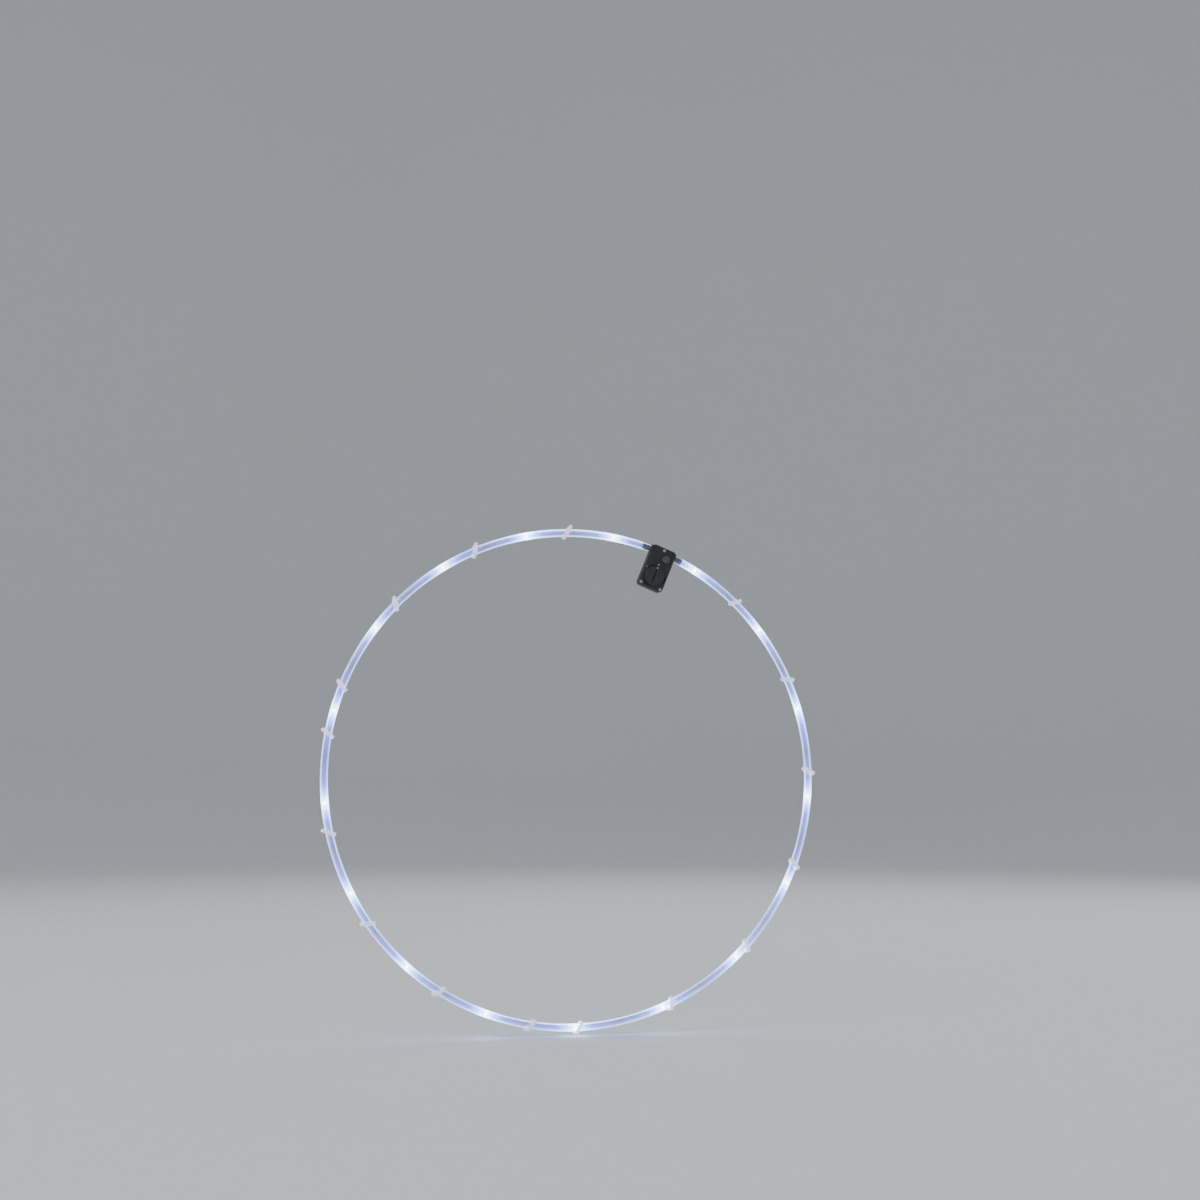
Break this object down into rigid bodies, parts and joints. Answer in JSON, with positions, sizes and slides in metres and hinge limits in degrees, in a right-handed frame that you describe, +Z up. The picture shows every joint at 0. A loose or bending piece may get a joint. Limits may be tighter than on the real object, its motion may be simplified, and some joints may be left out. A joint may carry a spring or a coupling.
{
  "type": "spoke wheel light",
  "caption": "Ring of clear tube with small lamps inside, tied to the spokes of a bicycle wheel, with a slim battery box where the tube's ends meet.",
  "frame": {"origin": "on the wheel's axle, in the middle plane of the tube", "axes": "+Y along the axle towards the back, +Z up, +X to the right seen from the front; the front, which the lamps face, is -Y"},
  "size_m": [0.5323, 0.017, 0.5366],
  "materials": {
    "clear_tube": "clear, glossy",
    "lamp": "lit, blue-white",
    "wire": "satin",
    "lamp_board": "satin",
    "resistor": "matte",
    "tie_nylon": "milky",
    "box_plastic": "fine grained",
    "cap_plastic": "fine grained",
    "seal_rubber": "matte",
    "button_rubber": "matte",
    "screw_steel": "satin",
    "cell_can": "satin",
    "contact_metal": "satin",
    "board_green": "satin",
    "chip_black": "matte",
    "switch_plastic": "matte"
  },
  "bodies": {
    "ring": {"light_tube": "clear_tube", "feed_wire": "wire", "return_wire": "wire", "lamp_boards": "lamp_board", "lamp_resistors": "resistor", "zip_ties": "tie_nylon", "box_body": "box_plastic", "front_gasket": "seal_rubber", "front_plate": "box_plastic", "plate_screws": "screw_steel", "coin_cell_back": "cell_can", "coin_cell_front": "cell_can", "negative_leaf": "contact_metal", "positive_clip": "contact_metal", "circuit_board": "board_green", "driver_chip": "chip_black", "switch_body": "switch_plastic", "led_01": "lamp", "led_02": "lamp", "led_03": "lamp", "led_04": "lamp", "led_05": "lamp", "led_06": "lamp", "led_07": "lamp", "led_08": "lamp", "led_09": "lamp", "led_10": "lamp", "led_11": "lamp", "led_12": "lamp", "led_13": "lamp", "led_14": "lamp", "led_15": "lamp", "led_16": "lamp", "led_17": "lamp"},
    "cap": {"battery_cap": "cap_plastic", "cap_seal": "seal_rubber"},
    "button": {"push_button": "button_rubber"},
    "stem": {"switch_stem": "switch_plastic"}
  },
  "joints": [
    {"name": "cap_turn", "type": "hinge", "parent": "ring", "child": "cap", "pos_m": [0.08792, -0.006, 0.21491], "axis": [0, -1, 0], "range_deg": [0, 60]},
    {"name": "button_press", "type": "slide", "parent": "ring", "child": "button", "axis": [0, 1, 0], "range_m": [0, 0.0007], "stiffness_N_per_m": 300},
    {"name": "stem_press", "type": "slide", "parent": "ring", "child": "stem", "axis": [0, 1, 0], "range_m": [0, 0.0007]}
  ],
  "couplings": [
    {"joint": "stem_press", "follows": "button_press", "ratio": 1}
  ]
}
